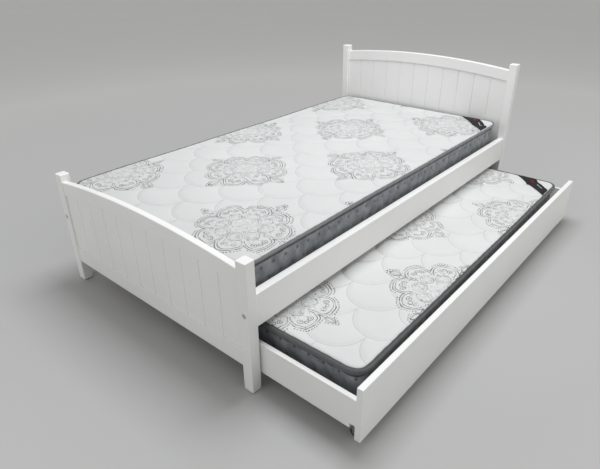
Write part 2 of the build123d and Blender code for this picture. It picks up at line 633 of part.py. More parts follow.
def bed_fasteners():
    """The fixed bed's fasteners and glides, each kind in one node."""
    corners = [(side, end) for _, side in SIDES for _, end in ENDS]
    rail_dowels = [dowel for corner in corners for dowel in side_rail_dowels(*corner)]
    screws = ledger_screws(-1) + ledger_screws(1)
    for pair in bed_slat_screws():
        screws += pair
    return {
        "bed_bolts": [bed_bolt(*corner) for corner in corners],
        "bed_barrel_nuts": [barrel_nut(*corner) for corner in corners],
        "bed_dowels": board_dowels(-1) + board_dowels(1) + rail_dowels,
        "bed_screws": screws,
        "post_glides": [post_glide(*corner) for corner in corners],
    }


def trundle_pieces():
    """Every node of the trundle, its wheels included."""
    pieces = {
        "trundle_front_panel": trundle_front_panel(),
        "trundle_back_panel": trundle_back_panel(),
        "trundle_ledger_front": trundle_ledger(1),
        "trundle_ledger_back": trundle_ledger(-1),
    }
    for end_name, end in ENDS:
        pieces[f"trundle_{end_name}_panel"] = trundle_end_panel(end)
    for number in range(TRUNDLE_SLAT_COUNT):
        pieces[f"trundle_slat_{number + 1:02d}"] = trundle_slat(number)
    for front_name, front in (("front", 1), ("back", -1)):
        for end_name, end in ENDS:
            pieces[f"castor_bracket_{front_name}_{end_name}"] = castor_bracket(front, end)
            pieces[f"wheel_{front_name}_{end_name}"] = castor_wheel(front, end)
    pieces["trundle_mattress"] = mattress(TRUNDLE_MATTRESS_SIZE, TRUNDLE_MATTRESS_MIDDLE,
                                          TRUNDLE_SLAT_TOP, TRUNDLE_MATTRESS_TURN)
    return pieces


def trundle_fasteners():
    corners = [(front, end) for front in (1, -1) for end in (-1, 1)]
    screws = trundle_ledger_screws(1) + trundle_ledger_screws(-1)
    for pair in trundle_slat_screws():
        screws += pair
    for corner in corners:
        screws += castor_block_screws(*corner)
    return {
        "castor_blocks": [castor_block(*corner) for corner in corners],
        "castor_axles": [castor_axle(*corner) for corner in corners],
        "castor_screws": [screw for corner in corners for screw in castor_screws(*corner)],
        "trundle_dowels": trundle_dowels(),
        "trundle_screws": screws,
    }


def write(name, solids):
    """Write one node, moved to the origin of the whole bed."""
    moved = [Pos(-ORIGIN_X, 0, 0) * solid for solid in solids]
    shape = moved[0] if len(moved) == 1 else Compound(children=moved)
    export_step(shape, f"parts/{name}.step")


os.makedirs("parts", exist_ok=True)
for node, piece in {**bed_pieces(), **trundle_pieces()}.items():
    write(node, [piece])
for node, group in {**bed_fasteners(), **trundle_fasteners()}.items():
    write(node, group)
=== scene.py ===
import math

import bpy
import numpy as np
from mathutils import Matrix, Vector
from mathutils.bvhtree import BVHTree


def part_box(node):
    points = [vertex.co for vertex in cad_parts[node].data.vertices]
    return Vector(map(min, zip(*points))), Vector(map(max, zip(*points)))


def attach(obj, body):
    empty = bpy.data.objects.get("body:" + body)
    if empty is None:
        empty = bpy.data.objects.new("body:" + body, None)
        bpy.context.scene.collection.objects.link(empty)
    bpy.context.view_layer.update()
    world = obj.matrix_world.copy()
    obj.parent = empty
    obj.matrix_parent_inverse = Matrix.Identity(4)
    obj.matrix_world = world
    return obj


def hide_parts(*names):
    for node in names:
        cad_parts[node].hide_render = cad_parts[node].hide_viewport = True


# A white trundle bed with two quilted mattresses, on a pale floor. Metres, +Z up, in the
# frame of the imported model: +X is the side where the trundle comes out, +Y the headboard.

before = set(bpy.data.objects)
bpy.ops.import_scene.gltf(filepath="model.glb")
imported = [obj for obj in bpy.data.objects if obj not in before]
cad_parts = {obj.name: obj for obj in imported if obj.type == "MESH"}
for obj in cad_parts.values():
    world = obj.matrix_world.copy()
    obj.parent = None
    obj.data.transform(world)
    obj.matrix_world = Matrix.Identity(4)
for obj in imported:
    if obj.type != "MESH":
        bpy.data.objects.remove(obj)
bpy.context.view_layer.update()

# ------------------------------------------------------------------ the two mattresses
# Each is laid out about its own middle: x across, y along, z up from its underside.
# motif: one printed medallion's middle; motif_pitch: how far they repeat across and along.
# scallop: lowest point of one quilted arc; scallop_half: half its width, and its height.
# lift: how far the corners are raised, in the order foot left, foot right, head left, head right.
# tape: half the height and half the depth of the rolled tape; tape_drop: its middle below the top;
# tape_shades: its light and its dark thread.
# recess: how far the border lies inside the mattress's sides where it meets a tape.
# white: how light the top's cloth is, as the shader's base colour. The trundle's is set lighter than the
# bed's as painted light, making up for the shade it lies in.
MATTRESSES = {
    "bed_mattress": {
        "body": "bed",
        "size": (1.074, 2.030),
        "turn": 0.0,
        "motif": (0.338, -0.015),
        "motif_pitch": (0.800, 0.805),
        "scallop": (0.202, -0.322),
        "scallop_half": (0.114, 0.121),
        "lift": (0.001, -0.003, 0.002, 0.006),
        "corner": 0.060,
        "tape": (0.0072, 0.0062),
        "tape_drop": 0.009,
        "tape_shades": ((0.240, 0.245, 0.250), (0.110, 0.113, 0.116)),
        "recess": 0.009,
        "wave_seed": 0.0,
        "white": 0.600,
    },
    "trundle_mattress": {
        "body": "trundle",
        "size": (0.920, 1.880),
        "turn": 0.4,
        "motif": (0.037, 0.015),
        "motif_pitch": (0.820, 0.805),
        "scallop": (0.261, -0.654),
        "scallop_half": (0.1125, 0.122),
        "lift": (0.001, 0.001, 0.002, 0.001),
        "corner": 0.050,
        "tape": (0.0118, 0.0100),
        "tape_drop": 0.0135,
        "tape_shades": ((0.140, 0.143, 0.147), (0.048, 0.050, 0.052)),
        "recess": 0.013,
        "wave_seed": 2.0,
        # painted light: this top is set lighter than the bed's to make up for the shade it lies in
        "white": 0.660,
    },
}
CAGE_STEP = 0.013               # spacing of the cloth before it is subdivided once
TOP_INSET = 0.026               # where the flat quilted top starts to turn down to the tape
EDGE_PROFILE = ((-0.016, 0.08), (-0.009, 0.32), (-0.005, 0.75))   # outward, and down in tape drops
TAPE_SEAM = -0.001              # the seams lie this far inside the mattress's sides
QUILT_DEPTH = 0.006             # stitches lie this far under the crowns between them
QUILT_SPREAD = 0.026
TOP_SAG = 0.0015                # how far the top starts below its seam, before it is blown up
CLOSING_INSET = 0.015           # the flat hidden face that closes a rim begins this far inside it
QUILT_CLOSING = -0.016          # the quilt's is this much higher than its rim: below every stitch
BORDER_CLOSING = -0.020         # and the border's upper one, which stays under the quilt's
CHANNEL_DEPTH = 0.0040
CHANNEL_WIDTH = 0.0065
GATHER_DEPTH = 0.0004           # of the small puckers beside a channel
TUFT_ROWS = (0.050, 0.096)      # rows of tufts in the border, down from the top
TUFT_PITCH = 0.062
TUFT_DEPTH = (0.0070, 0.0045)
TUFT_RADIUS = 0.015
BORDER_BULGE = 0.004
PRESSURE = 4.0
CLOTH_FRAMES = 20
TOP_CAP = 0.0055                # no point of the top moves further than this when it is blown up
BORDER_CAP = 0.004
TAPE_GROOVE = 0.22              # depth of the stitched groove along a tape, as a share of its size
TAPE_GROOVE_AT = 1.15           # where it runs round the tape's section, in radians above the side
TAPE_GROOVE_WIDTH = 0.22
RIBBON_INNER = (0.215, 0.212)   # where its inner edge meets the head end and the long side, from the corner
RIBBON_OUTER = (0.111, 0.128)   # and its outer edge
RIBBON_TUCK = 0.010             # its ends are sewn in this far inside the mattress's sides
RIBBON_THICKNESS = 0.0012
RIBBON_BILLOW = 0.0035          # how far its middle stands off the quilt
RIBBON_STEPS = (0.006, 0.005)   # spacing of its mesh along and across
# the band and what is sewn on it: name, limits along it, limits across it, height over the quilt
RIBBON_PIECES = (
    ("ribbon", (0, 1), (0, 1), 0.0022),
    ("ribbon_patch", (0.27, 0.40), (0.40, 0.66), 0.0034),
    ("ribbon_stripe", (0.54, 0.80), (0.56, 0.64), 0.0034),
)
MEDALLION_SCALE = 1.09
MEDALLION_WANDER = 0.022        # how far the print strays from its exact pattern, peak to peak


def mesh_object(name, vertices, faces, smooth=True):
    """A new mesh object from a list of points and a list of faces."""
    mesh = bpy.data.meshes.new(name)
    mesh.from_pydata([tuple(p) for p in vertices], [], [tuple(f) for f in faces])
    mesh.update()
    if smooth:
        mesh.polygons.foreach_set("use_smooth", [True] * len(mesh.polygons))
    made = bpy.data.objects.new(name, mesh)
    bpy.context.scene.collection.objects.link(made)
    return made


def points_of(thing):
    """The vertices of an object's own mesh as an array, one row for each."""
    flat = np.empty(len(thing.data.vertices) * 3)
    thing.data.vertices.foreach_get("co", flat)
    return flat.reshape(-1, 3)


def set_points(thing, places):
    thing.data.vertices.foreach_set("co", np.asarray(places, float).ravel())
    thing.data.update()


def wrapped(value, low, high):
    return (value - low) % (high - low) + low


def stitch_distance(x, y, plan):
    """Distance from points of the top to the nearest quilted arc, as the material has it too."""
    (x0, y0), (half, height) = plan["scallop"], plan["scallop_half"]
    nearest = None
    for shift in (0, 1):
        across = wrapped(x - x0 - shift * half, -half, half) / half
        up = wrapped(y0 + (1 + shift) * height - y, 0, 2 * height) / height
        away = np.abs(np.hypot(across, up) - 1) * (half + height) / 2
        nearest = away if nearest is None else np.minimum(nearest, away)
    return nearest


def motif_distance(x, y, plan):
    """Distance from points of the top to the middle of the nearest printed medallion."""
    (x0, y0), (across, along) = plan["motif"], plan["motif_pitch"]
    nearest = None
    for shift in (0, 0.5):
        dx = wrapped(x - x0 - shift * across, -across / 2, across / 2)
        dy = wrapped(y - y0 - shift * along, -along / 2, along / 2)
        away = np.hypot(dx, dy)
        nearest = away if nearest is None else np.minimum(nearest, away)
    return nearest


def stitch_strength(x, y, plan):
    """1 where the quilting is pulled tight, less under a medallion and next to the edge."""
    (width, length) = plan["size"]
    under_motif = np.clip((motif_distance(x, y, plan) - 0.120) / 0.060, 0, 1)
    to_edge = np.minimum(width / 2 - np.abs(x), length / 2 - np.abs(y))
    return (0.25 + 0.75 * under_motif) * np.clip((to_edge - 0.012) / 0.030, 0, 1)


def lie_of(x, y, plan):
    """How far the whole mattress rises and sinks: its raised corners and a few long waves."""
    (width, length) = plan["size"]
    u = x / width + 0.5
    v = y / length + 0.5
    foot_left, foot_right, head_left, head_right = plan["lift"]
    corners = (1 - v) * ((1 - u) * foot_left + u * foot_right) + v * ((1 - u) * head_left + u * head_right)
    seed = plan["wave_seed"]
    waves = 0.0012 * np.sin(5.1 * x + 3.3 * y + seed) + 0.0010 * np.sin(9.0 * y - 4.0 * x + 2 * seed)
    return corners + waves


def rounded_plan(width, length, radius):
    """A grid over a rounded rectangle, its rim in order, and each rim point's way outward."""
    across = max(2, round(width / CAGE_STEP))
    along = max(2, round(length / CAGE_STEP))
    xs = np.linspace(-width / 2, width / 2, across + 1)
    ys = np.linspace(-length / 2, length / 2, along + 1)
    points = []
    for y in ys:
        for x in xs:
            px, py = corner_mapped(x, y, width / 2, length / 2, radius)
            points.append((px, py))
    row = across + 1
    quads = [(j * row + i, j * row + i + 1, (j + 1) * row + i + 1, (j + 1) * row + i)
             for j in range(along) for i in range(across)]
    rim = [i for i in range(row)]
    rim += [j * row + across for j in range(1, along + 1)]
    rim += [along * row + i for i in range(across - 1, -1, -1)]
    rim += [j * row for j in range(along - 1, 0, -1)]
    outward = []
    for index in rim:
        x, y = points[index]
        nearest = Vector((max(-width / 2 + radius, min(width / 2 - radius, x)),
                          max(-length / 2 + radius, min(length / 2 - radius, y))))
        outward.append((Vector((x, y)) - nearest).normalized())
    return points, quads, rim, outward


def corner_mapped(x, y, half_width, half_length, radius):
    """Pulls a grid point near a corner in, so that square rings of points become round ones."""
    dx = (abs(x) - (half_width - radius)) / radius
    dy = (abs(y) - (half_length - radius)) / radius
    if dx <= 0 or dy <= 0:
        return x, y
    scale = max(dx, dy) / math.hypot(dx, dy)
    return (math.copysign(half_width - radius + dx * scale * radius, x),
            math.copysign(half_length - radius + dy * scale * radius, y))


def border_rings(plan, thickness):
    """Outward and height of each ring of the cover below its flat top, and the first one of the border."""
    drop = plan["tape_drop"]
    rings = [(outward, thickness - down * drop) for outward, down in EDGE_PROFILE]
    rings.append((TAPE_SEAM, thickness - drop))
    first = len(rings) - 1
    seam_height = plan["tape"][0] * 0.8
    high = thickness - drop - seam_height
    low = drop + seam_height
    steps = max(3, round((high - low) / CAGE_STEP))
    for step in range(steps + 1):
        share = step / steps
        bulge = BORDER_BULGE * math.sin(math.pi * share)
        rings.append((bulge - plan["recess"], high - share * (high - low)))
    rings += [(TAPE_SEAM, drop), (-0.012, 0.0015), (-0.024, 0.0)]
    return rings, first


def cover_cage(name, plan, thickness):
    """The whole cover as one coarse open sheet: the top is material 0, the sides are material 1."""
    (width, length) = plan["size"]
    points, quads, rim, outward = rounded_plan(width - 2 * TOP_INSET, length - 2 * TOP_INSET,
                                               plan["corner"] - TOP_INSET)
    vertices = [(x, y, thickness) for x, y in points]
    faces = list(quads)
    materials = [0] * len(faces)
    rings, first_of_border = border_rings(plan, thickness)
    above = list(rim)
    count = len(rim)
    for number, (out, height) in enumerate(rings):
        ring = []
        for index, way in zip(rim, outward):
            x, y = points[index]
            reach = TOP_INSET + out
            ring.append(len(vertices))
            vertices.append((x + way.x * reach, y + way.y * reach, height))
        for k in range(count):
            faces.append((above[k], ring[k], ring[(k + 1) % count], above[(k + 1) % count]))
            materials.append(0 if number <= first_of_border else 1)
        above = ring
    cover = mesh_object(name, vertices, faces)
    cover.data.polygons.foreach_set("material_index", materials)
    return cover


def tuft_pull(places, plan, thickness):
    """How far each point of the border is pulled in by its tufts, from 0 to TUFT_DEPTH."""
    (width, length) = plan["size"]
    x, y, z = places.T
    on_long_side = np.abs(np.abs(x) - width / 2) < np.abs(np.abs(y) - length / 2)
    along = np.where(on_long_side, y, x)
    half = np.where(on_long_side, length, width) / 2
    pull = np.zeros(len(places))
    for row, (down, depth) in enumerate(zip(TUFT_ROWS, TUFT_DEPTH)):
        beside = wrapped(along - row * TUFT_PITCH / 2, -TUFT_PITCH / 2, TUFT_PITCH / 2)
        away = np.hypot(beside, z - (thickness - down))
        pull += depth * np.exp(-(away / TUFT_RADIUS) ** 2)
    return pull * np.clip((half - np.abs(along) - 0.045) / 0.02, 0, 1)


def pulled_in(places, plan, amount):
    """Moves points of the border inward, square to the side of the rounded rectangle they are on."""
    (width, length) = plan["size"]
    limit = np.array([width / 2 - plan["corner"], length / 2 - plan["corner"]])
    away = places[:, :2] - np.clip(places[:, :2], -limit, limit)
    distance = np.linalg.norm(away, axis=1, keepdims=True)
    moved = places.copy()
    moved[:, :2] -= away / np.maximum(distance, 1e-6) * amount[:, None]
    return moved


def quilted_start(cover, plan, thickness):
    """Gives the cage its first shape; returns which points the stitches hold and which are the top's."""
    places = points_of(cover)
    (width, length) = plan["size"]
    x, y, z = places.T
    inner = (np.abs(x) < width / 2 - TOP_INSET + 0.001) & (np.abs(y) < length / 2 - TOP_INSET + 0.001)
    top = (z > thickness - 1e-6) & inner
    distance = stitch_distance(x, y, plan)
    strength = stitch_strength(x, y, plan)
    crown = 1 - np.exp(-distance / QUILT_SPREAD)
    depth = QUILT_DEPTH * (1 - crown) * strength
    pull = tuft_pull(places, plan, thickness)
    moved = pulled_in(places, plan, np.where(top, 0, pull))
    moved[:, 2] -= np.where(top, depth + TOP_SAG, 0)
    set_points(cover, moved)
    held = top & (distance < CAGE_STEP * 0.45) & (strength > 0.4)
    seams = ~top & ((z > thickness - plan["tape_drop"] - 0.001) | (z < plan["tape_drop"] + 0.001))
    tufts = ~top & (pull > 0.6 * TUFT_DEPTH[1])
    return held | seams | tufts, top


def blown_up(cover, held, caps):
    """Cloth simulation: the cover swells between what its stitches hold, up to a cap."""
    group = cover.vertex_groups.new(name="stitched")
    group.add([int(i) for i in np.flatnonzero(held)], 1.0, "REPLACE")
    rest = points_of(cover)
    cloth = cover.modifiers.new("swell", "CLOTH")
    cloth.settings.quality = 4
    cloth.settings.vertex_group_mass = group.name
    cloth.settings.use_pressure = True
    cloth.settings.uniform_pressure_force = PRESSURE
    cloth.settings.effector_weights.gravity = 0
    cloth.settings.tension_stiffness = 12
    cloth.settings.compression_stiffness = 12
    cloth.settings.bending_stiffness = 0.3
    cloth.collision_settings.use_collision = False
    cloth.point_cache.frame_start = 1
    cloth.point_cache.frame_end = CLOTH_FRAMES
    for number in range(1, CLOTH_FRAMES + 1):
        bpy.context.scene.frame_set(number)
    evaluated = cover.evaluated_get(bpy.context.evaluated_depsgraph_get())
    swollen = np.array([v.co for v in evaluated.data.vertices])
    cover.modifiers.remove(cloth)
    cover.vertex_groups.remove(group)
    bpy.context.scene.frame_set(1)
    step = swollen - rest
    length = np.linalg.norm(step, axis=1)
    scale = caps * np.tanh(length / caps) / np.maximum(length, 1e-9)
    set_points(cover, rest + step * scale[:, None])


def subdivided(thing):
    """Applies one level of subdivision to an object's own mesh."""
    modifier = thing.modifiers.new("smooth", "SUBSURF")
    modifier.levels = 1
    evaluated = thing.evaluated_get(bpy.context.evaluated_depsgraph_get())
    mesh = bpy.data.meshes.new_from_object(evaluated)
    old = thing.data
    thing.modifiers.remove(modifier)
    thing.data = mesh
    bpy.data.meshes.remove(old)


def part_of(name, cover, material):
    """The faces of one material of the cover, as an open mesh object of its own."""
    places = points_of(cover)
    faces = [list(p.vertices) for p in cover.data.polygons if p.material_index == material]
    used = sorted({v for face in faces for v in face})
    index = {v: i for i, v in enumerate(used)}
    return mesh_object(name, places[used], [[index[v] for v in face] for face in faces])


def rims_of(thing):
    """The open edges of a mesh as loops of vertex numbers, in the order of its faces, lowest loop first."""
    directed = {}
    count = {}
    for polygon in thing.data.polygons:
        loop = list(polygon.vertices)
        for a, b in zip(loop, loop[1:] + loop[:1]):
            count[frozenset((a, b))] = count.get(frozenset((a, b)), 0) + 1
            directed[(a, b)] = True
    following = {a: b for a, b in directed if count[frozenset((a, b))] == 1}
    loops = []
    while following:
        start = min(following)
        loop = [start]
        while True:
            step = following.pop(loop[-1])
            if step == start:
                break
            loop.append(step)
        loops.append(loop)
    places = points_of(thing)
    return sorted(loops, key=lambda loop: places[loop, 2].mean())


def closed(thing, rises):
    """Closes each open rim with a narrow sloping ring and one flat face, so that the piece is a solid.

    rises holds one height for each rim, lowest rim first: of its flat face over the rim."""
    vertices = [tuple(p) for p in points_of(thing)]
    faces = [list(p.vertices) for p in thing.data.polygons]
    for loop, rise in zip(rims_of(thing), rises):
        ring = []
        for index in loop:
            x, y, z = vertices[index]
            ring.append(len(vertices))
            inner_x = x - math.copysign(min(CLOSING_INSET, abs(x)), x)
            inner_y = y - math.copysign(min(CLOSING_INSET, abs(y)), y)
            vertices.append((inner_x, inner_y, z + rise))
        count = len(loop)
        for k in range(count):
            faces.append((loop[(k + 1) % count], loop[k], ring[k], ring[(k + 1) % count]))
        faces.append(ring[::-1])
    name = thing.name
    old = thing.data
    bpy.data.objects.remove(thing)
    bpy.data.meshes.remove(old)
    return mesh_object(name, vertices, faces)


def sewn_tape(name, path, half_height, half_depth):
    """A folded binding tape round a closed path: a full, rounded section with a stitched groove."""
    sides = 20
    count = len(path)
    vertices = []
    for k in range(count):
        along = Vector(path[(k + 1) % count]) - Vector(path[k - 1])
        along.z = 0
        way = along.normalized().cross(Vector((0, 0, 1)))
        ripple = 0.0004 * math.sin(k * 0.9) + 0.0003 * math.sin(k * 0.37 + 1)
        for s in range(sides):
            angle = 2 * math.pi * s / sides
            from_groove = wrapped(angle - TAPE_GROOVE_AT, -math.pi, math.pi)
            groove = TAPE_GROOVE * math.exp(-(from_groove / TAPE_GROOVE_WIDTH) ** 2)
            reach = (half_depth + ripple) * math.cos(angle) * (1 - groove)
            lift = (half_height + ripple) * math.copysign(abs(math.sin(angle)) ** 0.85, math.sin(angle))
            lift *= 1 - groove
            place = Vector(path[k]) + way * reach + Vector((0, 0, lift))
            vertices.append(tuple(place))
    faces = []
    for k in range(count):
        a = k * sides
        b = (k + 1) % count * sides
        for s in range(sides):
            t = (s + 1) % sides
            faces.append((a + s, b + s, b + t, a + t))
    return mesh_object(name, vertices, faces)


def carve_channels(quilt, plan, thickness):
    """Pulls the finished top down in narrow channels along its stitches, with small gathers beside them."""
    places = points_of(quilt)
    x, y, z = places.T
    distance = stitch_distance(x, y, plan)
    strength = stitch_strength(x, y, plan) * (z > thickness - 0.012)
    channel = CHANNEL_DEPTH * np.exp(-(distance / CHANNEL_WIDTH) ** 2)
    gathers = GATHER_DEPTH * np.sin(x * 410 + 3 * np.sin(y * 90)) * np.sin(y * 370 + 2 * np.sin(x * 70))
    beside = np.exp(-(distance / 0.02) ** 2)
    places[:, 2] -= (channel + gathers * beside) * strength
    set_points(quilt, places)


def settle(thing, plan, thickness):
    """Lets a finished piece follow the lie of the whole mattress, most at its top."""
    places = points_of(thing)
    share = np.clip(places[:, 2] / thickness, 0, 1)
    places[:, 2] += lie_of(places[:, 0], places[:, 1], plan) * share
    set_points(thing, places)


def ribbon_outline(plan):
    """The four corners of a corner ribbon: both ends of its inner edge, then both of its outer edge."""
    (width, length) = plan["size"]
    corners = []
    for along_end, along_side in (RIBBON_INNER, RIBBON_OUTER):
        corners.append(Vector((width / 2 - along_end, length / 2 - RIBBON_TUCK)))
        corners.append(Vector((width / 2 - RIBBON_TUCK, length / 2 - along_side)))
    return corners


def corner_ribbon(name, quilt, plan, lengthwise, across, lift):
    """A woven band that lies across the head right corner, or a smaller piece sewn onto it.

    lengthwise runs from 0 at the head end to 1 at the long side, across from 0 at the inner edge to 1."""
    inner_start, inner_end, outer_start, outer_end = ribbon_outline(plan)
    run = (inner_end - inner_start).length
    wide = (outer_start - inner_start).length
    top = BVHTree.FromPolygons([tuple(v.co) for v in quilt.data.vertices],
                               [list(p.vertices) for p in quilt.data.polygons])
    steps = max(2, round((lengthwise[1] - lengthwise[0]) * run / RIBBON_STEPS[0]))
    columns = max(2, round((across[1] - across[0]) * wide / RIBBON_STEPS[1]))
    upper = []
    for i in range(steps + 1):
        t = lengthwise[0] + (lengthwise[1] - lengthwise[0]) * i / steps
        for j in range(columns + 1):
            c = across[0] + (across[1] - across[0]) * j / columns
            place = inner_start.lerp(inner_end, t).lerp(outer_start.lerp(outer_end, t), c)
            height = top.ray_cast(Vector((place.x, place.y, 1)), Vector((0, 0, -1)))[0].z
            billow = RIBBON_BILLOW * math.sin(math.pi * t) * (1 - (2 * c - 1) ** 2 * 0.5)
            upper.append(Vector((place.x, place.y, height + lift + billow)))
    count = len(upper)
    vertices = upper + [p - Vector((0, 0, RIBBON_THICKNESS)) for p in upper]
    row = columns + 1
    faces = []
    for i in range(steps):
        for j in range(columns):
            a = i * row + j
            faces.append((a, a + row, a + row + 1, a + 1))
            faces.append((count + a, count + a + 1, count + a + row + 1, count + a + row))
    rim = list(range(columns + 1))
    rim += [i * row + columns for i in range(1, steps + 1)]
    rim += [steps * row + j for j in range(columns - 1, -1, -1)]
    rim += [i * row for i in range(steps - 1, 0, -1)]
    for a, b in zip(rim, rim[1:] + rim[:1]):
        faces.append((a, b, count + b, count + a))
    return mesh_object(name, vertices, faces)


def ribbon_cut(plan):
    """The flat width, length and area of a corner ribbon, whose ends are cut on the slant."""
    inner_start, inner_end, outer_start, outer_end = ribbon_outline(plan)
    length = (inner_end - inner_start).length
    middle = (outer_end + outer_start - inner_end - inner_start) / 2
    run = (inner_end - inner_start).normalized()
    width = abs(run.x * middle.y - run.y * middle.x)
    area = width * (length + (outer_end - outer_start).length) / 2
    return (width, length), area


# --------------------------------------------------------------------- material helpers
class Field:
    """A number at each point of a surface, built up from math nodes by ordinary arithmetic."""

    def __init__(self, tree, value):
        self.tree = tree
        self.value = value

    def math(self, operation, *others, clamp=False):
        node = self.tree.nodes.new("ShaderNodeMath")
        node.operation = operation
        node.use_clamp = clamp
        for place, item in enumerate((self, *others)):
            value = item.value if isinstance(item, Field) else item
            if isinstance(value, (int, float)):
                node.inputs[place].default_value = value
            else:
                self.tree.links.new(value, node.inputs[place])
        return Field(self.tree, node.outputs[0])

    def __add__(self, other):
        return self.math("ADD", other)

    def __sub__(self, other):
        return self.math("SUBTRACT", other)

    def __rsub__(self, other):
        return Field(self.tree, other).math("SUBTRACT", self)

    def __mul__(self, other):
        return self.math("MULTIPLY", other)

    def __truediv__(self, other):
        return self.math("DIVIDE", other)

    def size(self):
        return self.math("ABSOLUTE")

    def hypot(self, other):
        return (self * self + other * other).math("SQRT")

    def sine(self):
        return self.math("SINE")

    def cosine(self):
        return self.math("COSINE")

    def wrap(self, low, high):
        return self.math("WRAP", high, low)

    def least(self, other):
        return self.math("MINIMUM", other)

    def most(self, other):
        return self.math("MAXIMUM", other)

    def between(self):
        return self.math("ADD", 0.0, clamp=True)

    def above(self, edge, soft):
        """0 below an edge and 1 above it, with a soft step between them."""
        return ((self - edge) / soft + 0.5).between()

    def line(self, half_width, soft=0.0008):
        """1 on a line where this distance is near nothing."""
        return ((half_width - self.size()) / soft + 0.5).between()


def node_material(name, roughness):
    """A new material with its node tree and its Principled shader."""
    made = bpy.data.materials.new(name)
    made.use_nodes = True
    shader = made.node_tree.nodes["Principled BSDF"]
    shader.inputs["Roughness"].default_value = roughness
    return made, made.node_tree, shader


def object_place(tree):
    return tree.nodes.new("ShaderNodeTexCoord").outputs["Object"]


def stretched(tree, place, scale, shift=(0.0, 0.0, 0.0)):
    """Coordinates stretched by one factor on each axis, then moved."""
    node = tree.nodes.new("ShaderNodeMapping")
    node.inputs["Scale"].default_value = scale
    node.inputs["Location"].default_value = shift
    tree.links.new(place, node.inputs["Vector"])
    return node.outputs["Vector"]


def noise(tree, place, scale, detail=3.0, roughness=0.5, distortion=0.0):
    node = tree.nodes.new("ShaderNodeTexNoise")
    node.inputs["Scale"].default_value = scale
    node.inputs["Detail"].default_value = detail
    node.inputs["Roughness"].default_value = roughness
    node.inputs["Distortion"].default_value = distortion
    tree.links.new(place, node.inputs["Vector"])
    return Field(tree, node.outputs["Fac"])


def colours(tree, factor, stops):
    """A colour ramp driven by a field; stops are (place, colour) pairs."""
    node = tree.nodes.new("ShaderNodeValToRGB")
    ramp = node.color_ramp
    while len(ramp.elements) < len(stops):
        ramp.elements.new(1.0)
    for element, (place, colour) in zip(ramp.elements, stops):
        element.position = place
        element.color = (*colour, 1.0)
    tree.links.new(factor.value, node.inputs["Fac"])
    return node.outputs["Color"]


def mixed(tree, factor, one, two):
    """One colour over another; each is a socket or a plain colour."""
    node = tree.nodes.new("ShaderNodeMix")
    node.data_type = "RGBA"
    if isinstance(factor, Field):
        tree.links.new(factor.value, node.inputs["Factor"])
    else:
        node.inputs["Factor"].default_value = factor
    for name, item in (("A", one), ("B", two)):
        socket = [s for s in node.inputs if s.name == name and s.type == "RGBA"][0]
        if isinstance(item, tuple):
            socket.default_value = (*item, 1.0)
        else:
            tree.links.new(item, socket)
    return [s for s in node.outputs if s.type == "RGBA"][0]


def bumped(tree, shader, layers):
    """Stacks bumps on the shader's normal; layers are (height field, strength, distance) rows."""
    previous = None
    for height, strength, distance in layers:
        node = tree.nodes.new("ShaderNodeBump")
        node.inputs["Strength"].default_value = strength
        node.inputs["Distance"].default_value = distance
        tree.links.new(height.value, node.inputs["Height"])
        if previous is not None:
            tree.links.new(previous, node.inputs["Normal"])
        previous = node.outputs["Normal"]
    tree.links.new(previous, shader.inputs["Normal"])


def xyz(tree, place):
    node = tree.nodes.new("ShaderNodeSeparateXYZ")
    tree.links.new(place, node.inputs[0])
    return [Field(tree, node.outputs[i]) for i in range(3)]


# ------------------------------------------------------------------------- the finishes
PINE_LIGHT = (0.66, 0.47, 0.27)
PINE_DARK = (0.50, 0.31, 0.15)
BEECH_LIGHT = (0.60, 0.41, 0.25)
BEECH_DARK = (0.48, 0.30, 0.17)


def along_grain(axis, fine, coarse):
    """Scale factors that stretch a pattern out along one axis."""
    return tuple(coarse if i == axis else fine for i in range(3))


def white_paint(axis):
    """Satin white paint over wood: faint grain, a fine orange peel and slightly uneven sheen."""
    made, tree, shader = node_material(f"white_paint_{'xyz'[axis]}", 0.36)
    place = object_place(tree)
    grain = noise(tree, stretched(tree, place, along_grain(axis, 1.0, 0.03)), 90, 4, 0.6, 0.4)
    peel = noise(tree, place, 420, 2)
    cloud = noise(tree, place, 3.0, 3)
    tint = colours(tree, cloud, [(0.3, (0.790, 0.790, 0.780)), (0.7, (0.835, 0.835, 0.825))])
    tint = mixed(tree, grain * 0.10, tint, (0.700, 0.700, 0.680))
    tree.links.new(tint, shader.inputs["Base Color"])
    rough = grain * 0.10 + cloud * 0.12 + 0.25
    tree.links.new(rough.value, shader.inputs["Roughness"])
    bumped(tree, shader, [(grain, 0.25, 0.0004), (peel, 0.12, 0.0003)])
    return made


def bare_wood(name, axis, light, dark, rings):
    """Planed wood: long growth rings, fine pores and the odd small knot."""
    made, tree, shader = node_material(f"{name}_{'xyz'[axis]}", 0.62)
    place = object_place(tree)
    long_way = stretched(tree, place, along_grain(axis, 1.0, 0.06))
    drift = noise(tree, long_way, 7.0, 2)
    across = xyz(tree, long_way)[(axis + 1) % 3] + xyz(tree, long_way)[(axis + 2) % 3] * 0.6
    ring = ((across + drift * 0.05) * rings).sine() * 0.5 + 0.5
    pores = noise(tree, stretched(tree, place, along_grain(axis, 1.0, 0.02)), 900, 3, 0.6)
    knots = noise(tree, stretched(tree, place, along_grain(axis, 1.0, 0.4)), 9.0, 1).above(0.72, 0.05)
    tint = colours(tree, ring * 0.7 + pores * 0.3, [(0.15, light), (0.85, dark)])
    tint = mixed(tree, knots * 0.8, tint, tuple(0.35 * c for c in dark))
    tree.links.new(tint, shader.inputs["Base Color"])
    tree.links.new((pores * 0.25 + 0.5).value, shader.inputs["Roughness"])
    bumped(tree, shader, [(pores, 0.3, 0.0004), (ring, 0.15, 0.0003)])
    return made


